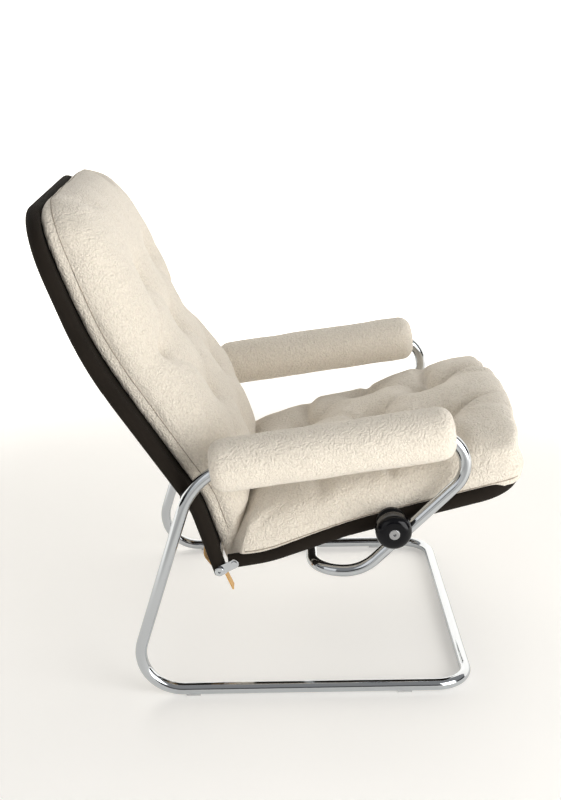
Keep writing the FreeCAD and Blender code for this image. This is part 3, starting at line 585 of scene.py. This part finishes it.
def point_values(piece, kind):
    """A mesh's point coordinates or normals as an array."""
    values = np.empty(len(piece.data.vertices) * 3)
    piece.data.vertices.foreach_get(kind, values)
    return values.reshape(-1, 3)


def coordinates(piece):
    """A mesh's points as an array."""
    return point_values(piece, "co")


def normals(piece):
    """A mesh's point normals as an array."""
    return point_values(piece, "normal")


def set_coordinates(piece, co):
    """Write points back to a mesh."""
    piece.data.vertices.foreach_set("co", co.astype(np.float32).ravel())
    piece.data.update()


def push(piece, direction, amount):
    """Move each point along its direction."""
    set_coordinates(piece, coordinates(piece) + direction * amount[:, None])


def linear(value, begin, full):
    """A straight step from 0 to 1 over a zone."""
    return np.clip((value - begin) / (full - begin), 0, 1)


def eased(value, begin, full):
    """A soft step from 0 to 1 over a zone."""
    share = linear(value, begin, full)
    return share * share * (3 - 2 * share)


def ring(centre, first, second, radius, sides):
    """Points round a centre, in the plane of two directions."""
    angles = [math.tau * k / sides for k in range(sides)]
    return [centre + (first * math.cos(angle) + second * math.sin(angle)) * radius for angle in angles]


def ringed_piece(name, rings):
    """A closed piece from rings of points, joined one to the next and shut at both ends."""
    work = bmesh.new()
    loops = [[work.verts.new(point) for point in points] for points in rings]
    for a, b in zip(loops, loops[1:]):
        for k in range(len(a)):
            after = (k + 1) % len(a)
            work.faces.new((a[k], a[after], b[after], b[k]))
    work.faces.new(loops[0])
    work.faces.new(loops[-1])
    return add_piece(name, work)


def round_cord(name, path, radius):
    """A thin round cord along points."""
    rings = []
    for i, point in enumerate(path):
        ahead = path[min(i + 1, len(path) - 1)] - path[max(i - 1, 0)]
        turn = ahead.normalized().to_track_quat("Z", "Y")
        rings.append(ring(point, turn @ ACROSS, turn @ Vector((0, 1, 0)), radius, SEAM_SIDES))
    return ringed_piece(name, rings)


# Rails


def rail_line(places, bends):
    """A rail's side line as closely spaced points, run on straight at both ends."""
    corners = [Vector(place) for place in places]
    path = [corners[0] - (corners[1] - corners[0]).normalized() * RAIL_RUN_ON, corners[0]]
    for before, corner, after, bend in zip(corners, corners[1:], corners[2:], bends):
        back = (before - corner).normalized()
        ahead = (after - corner).normalized()
        half = back.angle(ahead) / 2
        centre = corner + (back + ahead).normalized() * (bend / math.sin(half))
        first = corner + back * (bend / math.tan(half)) - centre
        last = corner + ahead * (bend / math.tan(half)) - centre
        for share in np.linspace(0, 1, BEND_POINTS):
            path.append(centre + first.slerp(last, float(share)).normalized() * bend)
    path.append(corners[-1])
    path.append(corners[-1] + (corners[-1] - corners[-2]).normalized() * RAIL_RUN_ON)
    dense = []
    for a, b in zip(path, path[1:]):
        count = max(1, int((b - a).length / RAIL_STEP))
        dense += [a.lerp(b, i / count) for i in range(count)]
    line = np.array([tuple(point) for point in (*dense, path[-1])])
    steps = np.linalg.norm(np.diff(line, axis=0), axis=1)
    travel = np.concatenate([[0], np.cumsum(steps)]) - RAIL_RUN_ON
    ahead = np.gradient(line, axis=0)
    ahead /= np.linalg.norm(ahead, axis=1)[:, None]
    normal = np.stack([-ahead[:, 1], ahead[:, 0]], 1)
    normal[normal[:, 1] < 0] *= -1
    return Rail(line, travel, ahead, normal)


def rail_index(rail, distances):
    """The rail's nearest point to each distance along it."""
    return np.abs(rail.travel[None] - distances[:, None]).argmin(1)


def rail_places(co, rail):
    """Distance along a rail and height above it for points of a mesh."""
    flat = co[:, 1:]
    nearest = np.empty(len(flat), int)
    for first in range(0, len(flat), RAIL_CHUNK):
        part = slice(first, first + RAIL_CHUNK)
        nearest[part] = ((flat[part][:, None] - rail.line[None]) ** 2).sum(2).argmin(1)
    offset = flat - rail.line[nearest]
    along = rail.travel[nearest] + (offset * rail.ahead[nearest]).sum(1)
    return along, (offset * rail.normal[nearest]).sum(1)


def place_at(rail, distance, x, height):
    """World point at a distance along a rail, across the chair and above the rail."""
    index = int(np.abs(rail.travel - distance).argmin())
    return Vector((x, *(rail.line[index] + rail.normal[index] * height)))


# Soft forms


def inflate(piece, held, pressure, cap):
    """Stuff a piece: cloth under pressure, held where it is sewn or rests, with a cap on how far it moves."""
    rest = coordinates(piece)
    group = piece.vertex_groups.new(name="held")
    for index, weight in enumerate(held):
        if weight > 0:
            group.add([index], float(weight), "REPLACE")
    cloth = piece.modifiers.new("stuffing", "CLOTH")
    settings = cloth.settings
    for name, value in STUFFING.items():
        setattr(settings, name, value)
    settings.vertex_group_mass = "held"
    settings.use_pressure = True
    settings.uniform_pressure_force = pressure
    settings.effector_weights.gravity = 0
    cloth.collision_settings.use_collision = False
    scene = bpy.context.scene
    for number in range(1, STUFFING_FRAMES + 1):
        scene.frame_set(number)
    baked(piece)
    scene.frame_set(1)
    piece.vertex_groups.clear()
    moved = coordinates(piece) - rest
    reach = np.linalg.norm(moved, axis=1)
    limit = np.minimum(1.0, cap / np.maximum(reach, 1e-9))
    set_coordinates(piece, rest + moved * limit[:, None])


def tuft_places(rows, pair_first):
    """Staggered tufts, pairs and threes in turn: distance along the rail and place across."""
    places = []
    for number, (_, seen) in enumerate(rows):
        pair = (number % 2 == 0) == pair_first
        places += [(seen, step * TUFT_ACROSS) for step in ((-1, 1) if pair else (-2, 0, 2))]
    return places


def diagonals(tufts):
    """Creases from each tuft to its diagonal neighbours."""
    nearest, farthest = NEIGHBOUR_ALONG
    creases = []
    for i, a in enumerate(tufts):
        for b in tufts[i + 1:]:
            if nearest < abs(a[0] - b[0]) < farthest and abs(a[1] - b[1]) < NEIGHBOUR_ACROSS:
                creases.append(Crease(a, b, 1.0, False))
    return creases


def to_sides(tufts, edge, strength):
    """Creases from each row's outer tufts to the cushion's side edges."""
    creases = []
    for along, x in tufts:
        row = [other_x for other, other_x in tufts if other == along]
        if abs(x) == max(row):
            side = (along + SIDE_CREASE_SLANT, math.copysign(edge, x))
            creases.append(Crease((along, x), side, strength, True))
    return creases


def to_nose(tufts):
    """Creases that fan from the last row's tufts down the seat's nose."""
    last = max(along for along, _ in tufts)
    creases = []
    for along, x in tufts:
        if along == last:
            for spread, strength in NOSE_CREASES:
                creases.append(Crease((along, x), (along + NOSE_CREASE_RUN, x + spread), strength, True))
    return creases


def near_segment(s, x, a, b):
    """Distance of points to a segment in the cushion's own plane, and the share along it."""
    ds = b[0] - a[0]
    dx = b[1] - a[1]
    share = np.clip(((s - a[0]) * ds + (x - a[1]) * dx) / (ds * ds + dx * dx), 0, 1)
    return np.hypot(s - a[0] - share * ds, x - a[1] - share * dx), share


def wander(co, shift):
    """How far a crease strays from its straight line at each point."""
    return np.array([noise.noise(Vector(point) * WANDERS_PER_METRE + shift) for point in co]) * WANDER


def sew(piece, rail, creases, tufts, crease_depth, tuft_depth):
    """Draw the tufts and the creases between them into the upper side."""
    looks = bpy.context.scene.cushion_looks
    co = coordinates(piece)
    x = co[:, 0]
    s, n = rail_places(co, rail)
    up = np.zeros_like(co)
    up[:, 1:] = rail.normal[rail_index(rail, s)]
    facing = (normals(piece) * up).sum(1)
    upper = linear(facing, *FACING_UP) * linear(n, *SEWN_HEIGHT)
    strayed_s = s + wander(co, WANDER_ALONG)
    strayed_x = x + wander(co, WANDER_ACROSS)
    pull = np.zeros(len(co))
    for crease in creases:
        gap, share = near_segment(strayed_s, strayed_x, crease.start, crease.end)
        if crease.fades:
            along = (1 - share) ** FADE_POWER
        else:
            along = CREASE_MEAN + CREASE_SWING * np.cos(share * math.tau)
        profile = np.exp(-((gap / looks.crease_width) ** CREASE_SHARPNESS))
        pull = np.maximum(pull, crease.strength * crease_depth * along * profile)
    for tuft in tufts:
        gap = np.hypot(s - tuft[0], x - tuft[1])
        pull = np.maximum(pull, tuft_depth * np.exp(-((gap / looks.tuft_reach) ** TUFT_SHARPNESS)))
    push(piece, up, -pull * upper)


def slide(piece, rail, rows, end):
    """Bring a solid's tuft rows along the rail to where the covered cushion shows them."""
    co = coordinates(piece)
    s, n = rail_places(co, rail)
    low, high = rail.travel[0], rail.travel[-1]
    solid = [low, ROWS_START, *[row[0] for row in rows], end, high]
    seen = [low, ROWS_START, *[row[1] for row in rows], end, high]
    moved = s + (np.interp(s, solid, seen) - s) * eased(n, *ROWS_HEIGHT)
    for axis in (0, 1):
        on_line = np.interp(moved, rail.travel, rail.line[:, axis])
        co[:, axis + 1] = on_line + np.interp(moved, rail.travel, rail.normal[:, axis]) * n
    set_coordinates(piece, co)


def settle_back(piece, rail):
    """The back cushion's lower end hangs down to the hinge, and its top stands up."""
    looks = bpy.context.scene.cushion_looks
    co = coordinates(piece)
    s, _ = rail_places(co, rail)
    low_end = rail.ahead[int(np.abs(rail.travel).argmin())]
    co[:, 1:] -= low_end * (looks.tail_drop * eased(s, *TAIL_ZONE))[:, None]
    co[:, 1:] += rail.ahead[-1] * (looks.top_lift * eased(s, *TOP_ZONE))[:, None]
    set_coordinates(piece, co)


def settle_seat(piece, rail):
    """The seat cushion hangs over its sleeves, fills the corner at the hinge and draws in under its nose."""
    looks = bpy.context.scene.cushion_looks
    co = coordinates(piece)
    s, n = rail_places(co, rail)
    index = rail_index(rail, s)
    low = eased(n, *LOW_HEIGHT)
    grown = HANG_AHEAD + (1 - HANG_AHEAD) * eased(s, *HANG_ZONE)
    hang = eased(np.abs(co[:, 0]), *SLEEVE_SIDE) * low * grown
    corner = eased(s, *CORNER_ZONE) * low
    nose = looks.nose_in * eased(s, *NOSE_IN_ZONE) * eased(n, *NOSE_IN_HEIGHT)
    nose -= looks.nose_out * eased(s, *NOSE_OUT_ZONE) * eased(n, *NOSE_OUT_HEIGHT)
    co[:, 0] += np.sign(co[:, 0]) * looks.edge_out * hang
    co[:, 1:] -= rail.normal[index] * (looks.edge_drop * hang + looks.corner_drop * corner)[:, None]
    co[:, 1:] -= rail.ahead[index] * (looks.corner_back * corner + nose)[:, None]
    set_coordinates(piece, co)


def groove(piece, rail, height, depth):
    """The cloth draws in along the seam of the side panel."""
    _, n = rail_places(coordinates(piece), rail)
    push(piece, normals(piece), -depth * np.exp(-(((n - height) / SEAM_GROOVE_WIDTH) ** 2)))


def rumple(piece, wave, amount):
    """Soft unevenness of a stuffed cover."""
    places = [Vector(point) / wave for point in coordinates(piece)]
    waves = np.array([noise.fractal(place, WAVE_FALL, WAVE_GAP, WAVE_LAYERS) for place in places])
    push(piece, normals(piece), waves * amount)


def stuffed(name, node, rail, rows, end, tufts):
    """A cushion's solid as an even skin with its tuft rows in place, filled under pressure."""
    looks = bpy.context.scene.cushion_looks
    piece = closed_piece(name, NODES[node].data)
    remeshed(piece, looks.voxel)
    slide(piece, rail, rows, end)
    co = coordinates(piece)
    s, n = rail_places(co, rail)
    held = linear(n, *RESTING_HEIGHT)
    for tuft in tufts:
        held = np.maximum(held, np.hypot(s - tuft[0], co[:, 0] - tuft[1]) < TUFT_HELD)
    push(piece, normals(piece), -looks.slack * linear(n, *SLACK_HEIGHT))
    inflate(piece, held, looks.pressure, looks.swell_cap)
    return piece


def seam_cord(name, piece, rail, height, seam_run):
    """A stitched seam laid on a cushion's side panels and over its end."""
    radius = bpy.context.scene.cushion_looks.seam_radius
    surface = BVHTree.FromObject(piece, bpy.context.evaluated_depsgraph_get())
    low, high = seam_run
    path = []

    def lay(origin, direction):
        hit, out, _, _ = surface.ray_cast(origin, direction)
        if hit is not None:
            path.append(hit + out * (radius * SEAM_PROUD))

    for s in np.arange(low, high, SEAM_STEP):
        lay(place_at(rail, s, SEAM_SIDE_REACH, height), -ACROSS)
    centre = place_at(rail, high, 0, height)
    onward = Vector((0, *rail.ahead[int(np.abs(rail.travel - high).argmin())]))
    for angle in np.linspace(0, math.pi, SEAM_END_POINTS):
        outward = ACROSS * math.cos(angle) + onward * math.sin(angle)
        lay(centre + outward * SEAM_END_REACH, -outward)
    for s in np.arange(high, low, -SEAM_STEP):
        lay(place_at(rail, s, -SEAM_SIDE_REACH, height), ACROSS)
    return round_cord(name, path, radius)


def dress(piece, finish, body, smooth=True):
    """Material, shading and the body a piece rides on."""
    piece.data.materials.clear()
    piece.data.materials.append(MATERIALS[finish])
    for face in piece.data.polygons:
        face.use_smooth = smooth
    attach(piece, body)


def subdivided(piece):
    """One level of subdivision for a soft outline."""
    fine = piece.modifiers.new("soft", "SUBSURF")
    fine.levels = 1
    fine.render_levels = 1


def cover(piece, rail, body, seam_name, seam_height, seam_run):
    """Seam, unevenness and finish of a sewn cushion."""
    looks = bpy.context.scene.cushion_looks
    groove(piece, rail, seam_height, looks.seam_groove)
    _, n = rail_places(coordinates(piece), rail)
    rumple(piece, CUSHION_WAVE, CUSHION_UNEVEN * linear(n, *RUMPLED_HEIGHT))
    dress(piece, "cream", body)
    seam = seam_cord(seam_name, piece, rail, seam_height, seam_run)
    # The seam cord takes the darker creams: painted shade along the welt.
    dress(seam, "seam", body)
    subdivided(piece)


def sleeve_outline(looks):
    """Half outline of an arm sleeve: distance along it and radius, with rounded ends."""
    end = [(0.0, radius) for radius in SLEEVE_MOUTH]
    for angle in np.linspace(0, math.pi / 2, SLEEVE_ROUND_POINTS):
        inset = looks.arm_round * (1 - math.sin(angle))
        end.append((looks.arm_round * (1 - math.cos(angle)), looks.arm_radius - inset))
    middle = [(looks.arm_length * part / SLEEVE_PARTS, looks.arm_radius) for part in SLEEVE_PLAIN_PARTS]
    return end + middle + [(looks.arm_length - distance, radius) for distance, radius in reversed(end)]


def arm_sleeve(name, side):
    """One padded arm sleeve round its armrest bar."""
    looks = bpy.context.scene.cushion_looks
    axis = ARM_AHEAD.normalized()
    upward = Vector((0, axis.z, -axis.y))
    start = ARM_REAR + axis * looks.arm_start + ACROSS * (side * looks.arm_spacing / 2)
    rings = []
    for distance, radius in sleeve_outline(looks):
        rings.append(ring(start + axis * distance, ACROSS, upward, radius, SLEEVE_SIDES))
    piece = ringed_piece(name, rings)
    travel = (coordinates(piece) - np.array(start)) @ np.array(axis)
    from_end = np.minimum(travel, looks.arm_length - travel)
    inflate(piece, linear(from_end, *SLEEVE_HELD), SLEEVE_PRESSURE, SLEEVE_SWELL)
    rumple(piece, SLEEVE_WAVE, np.full(len(travel), SLEEVE_UNEVEN))
    return piece


# Studio


def studio_sweep():
    """Floor that bends up into a wall behind the chair."""
    sweep = [(-FLOOR_REACH, 0.0), (WALL_FOOT, 0.0)]
    for angle in np.linspace(WALL_BEND_START, math.pi / 2, WALL_BEND_POINTS):
        sweep.append((WALL_FOOT + WALL_BEND * math.sin(angle), WALL_BEND * (1 - math.cos(angle))))
    sweep.append((WALL_FOOT + WALL_BEND, WALL_TOP))
    work = bmesh.new()
    rows = [[work.verts.new((x, y, z)) for y in (-FLOOR_REACH, FLOOR_REACH)] for x, z in sweep]
    for near, far in zip(rows, rows[1:]):
        work.faces.new((near[0], far[0], far[1], near[1])).smooth = True
    return add_piece("floor", work)


def studio_world(strength):
    """A room that is bright above and dark near the horizon, for the chrome to mirror."""
    world = bpy.data.worlds.new("studio")
    world.use_nodes = True
    tree = world.node_tree
    place = tree.nodes.new("ShaderNodeTexCoord").outputs["Generated"]
    split = shader_node(tree, "ShaderNodeSeparateXYZ", {0: place})
    height = shader_node(tree, "ShaderNodeMapRange", {"Value": split.outputs["Z"], "From Min": -1.0})
    stops = [(at, (grey, grey, grey * blue)) for at, grey, blue in SURROUNDINGS]
    room = colour_ramp(tree, height.outputs["Result"], stops)
    feed(tree, tree.nodes["Background"], {"Color": room, "Strength": strength})
    return world


def studio_lamp(name, energy, size, place):
    """A soft square lamp that looks at the chair."""
    lamp = bpy.data.lights.new(name, "AREA")
    lamp.energy = energy
    lamp.size = size
    holder = bpy.data.objects.new(name, lamp)
    holder.location = place
    holder.rotation_euler = (LAMP_TARGET - place).to_track_quat("-Z", "Y").to_euler()
    bpy.context.scene.collection.objects.link(holder)


def photo_camera():
    """The camera at the photograph's viewing angle."""
    camera = bpy.data.cameras.new("camera")
    camera.sensor_width = CAMERA_SENSOR
    camera.lens = CAMERA_LENS
    camera.clip_start = CAMERA_CLIP
    eye = bpy.data.objects.new("camera", camera)
    turns = ((CAMERA_YAW, "Z"), (90.0 - CAMERA_TILT, "X"), (CAMERA_ROLL, "Z"))
    pose = Matrix.Translation(CAMERA_PLACE)
    for degrees, axis in turns:
        pose = pose @ Matrix.Rotation(math.radians(degrees), 4, axis)
    eye.matrix_world = pose
    bpy.context.scene.collection.objects.link(eye)
    return eye


# Operators


class CHAIR_OT_fittings(bpy.types.Operator):
    """Give every metal, plastic and leather sub-part its finish"""

    bl_idname = "chair.fittings"
    bl_label = "Frame and fittings"

    def execute(self, context):
        for node, part in NODES.items():
            part.data.materials.clear()
            part.data.materials.append(MATERIALS[finish_of(node)])
        return {"FINISHED"}


class CHAIR_OT_slings(bpy.types.Operator):
    """Make the canvas slings"""

    bl_idname = "chair.slings"
    bl_label = "Canvas slings"

    def execute(self, context):
        for word, body in (("back", "backrest"), ("seat", "seat")):
            piece = closed_piece(f"{word}_canvas", NODES[f"{word}_sling"].data)
            dress(piece, "canvas", body, smooth=False)
            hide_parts(f"{word}_sling")
        return {"FINISHED"}


class CHAIR_OT_arm_sleeves(bpy.types.Operator):
    """Make the padded arm sleeves"""

    bl_idname = "chair.arm_sleeves"
    bl_label = "Arm sleeves"

    def execute(self, context):
        for word, side in SIDES.items():
            piece = arm_sleeve(f"arm_pad_{word}", side)
            dress(piece, "cream", "frame")
            subdivided(piece)
            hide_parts(f"arm_cover_{word}")
        return {"FINISHED"}


class CHAIR_OT_back_cushion(bpy.types.Operator):
    """Make the tufted back cushion and its seam"""

    bl_idname = "chair.back_cushion"
    bl_label = "Back cushion"

    def execute(self, context):
        looks = context.scene.cushion_looks
        rail = rail_line(BACK_CORNERS, BACK_BENDS)
        tufts = tuft_places(BACK_ROWS, pair_first=False)
        creases = diagonals(tufts) + to_sides(tufts, *BACK_SIDE_CREASES)
        piece = stuffed("back_pad", "back_cushion", rail, BACK_ROWS, BACK_ROWS_END, tufts)
        settle_back(piece, rail)
        sew(piece, rail, creases, tufts, looks.back_crease, looks.back_tuft)
        cover(piece, rail, "backrest", "back_seam", looks.back_seam, BACK_SEAM_RUN)
        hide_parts("back_cushion")
        return {"FINISHED"}


class CHAIR_OT_seat_cushion(bpy.types.Operator):
    """Make the tufted seat cushion and its seam"""

    bl_idname = "chair.seat_cushion"
    bl_label = "Seat cushion"

    def execute(self, context):
        looks = context.scene.cushion_looks
        rail = rail_line(SEAT_CORNERS, SEAT_BENDS)
        tufts = tuft_places(SEAT_ROWS, pair_first=True)
        creases = diagonals(tufts) + to_sides(tufts, *SEAT_SIDE_CREASES) + to_nose(tufts)
        piece = stuffed("seat_pad", "seat_cushion", rail, SEAT_ROWS, SEAT_ROWS_END, tufts)
        settle_seat(piece, rail)
        sew(piece, rail, creases, tufts, looks.seat_crease, looks.seat_tuft)
        cover(piece, rail, "seat", "seat_seam", looks.seat_seam, SEAT_SEAM_RUN)
        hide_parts("seat_cushion")
        return {"FINISHED"}


class CHAIR_OT_stage(bpy.types.Operator):
    """Pale floor, soft studio light and the camera"""

    bl_idname = "chair.stage"
    bl_label = "Studio"

    def execute(self, context):
        scene = context.scene
        looks = scene.studio_looks
        floor = studio_sweep()
        floor.data.materials.append(pale_floor(scene.finish_looks.floor, looks.floor_glow))
        scene.world = studio_world(looks.world)
        energies = {"key": looks.key, "fill": looks.fill, "top": looks.top}
        for name, (size, place) in LAMPS.items():
            studio_lamp(name, energies[name], size, place)
        scene.camera = photo_camera()
        scene.view_settings.view_transform = "Standard"
        return {"FINISHED"}


class CHAIR_PT_panel(bpy.types.Panel):
    """Buttons and sizes of the armchair"""

    bl_label = "Reclining armchair"
    bl_idname = "CHAIR_PT_panel"
    bl_space_type = "VIEW_3D"
    bl_region_type = "UI"
    bl_category = "Armchair"

    def draw(self, context):
        """List the operators, then every value that they read."""
        for operator in OPERATORS:
            self.layout.operator(operator.bl_idname)
        for name, group in LOOKS.items():
            for value in group.__annotations__:
                self.layout.prop(getattr(context.scene, name), value)


LOOKS = {"cushion_looks": CushionLooks, "finish_looks": FinishLooks, "studio_looks": StudioLooks}
OPERATORS = (
    CHAIR_OT_fittings,
    CHAIR_OT_slings,
    CHAIR_OT_arm_sleeves,
    CHAIR_OT_back_cushion,
    CHAIR_OT_seat_cushion,
    CHAIR_OT_stage,
)
CLASSES = (*LOOKS.values(), *OPERATORS, CHAIR_PT_panel)


def register():
    """Register the classes and give the scene their values."""
    for item in CLASSES:
        bpy.utils.register_class(item)
    for name, group in LOOKS.items():
        setattr(bpy.types.Scene, name, bpy.props.PointerProperty(type=group))


def unregister():
    """Take the values and the classes away again."""
    for name in LOOKS:
        delattr(bpy.types.Scene, name)
    for item in reversed(CLASSES):
        bpy.utils.unregister_class(item)


def main():
    """Dress the chair piece by piece."""
    register()
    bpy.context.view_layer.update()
    make_materials()
    bpy.ops.chair.fittings()
    bpy.ops.chair.slings()
    bpy.ops.chair.arm_sleeves()
    bpy.ops.chair.back_cushion()
    bpy.ops.chair.seat_cushion()
    bpy.ops.chair.stage()


if __name__ == "__main__":
    main()
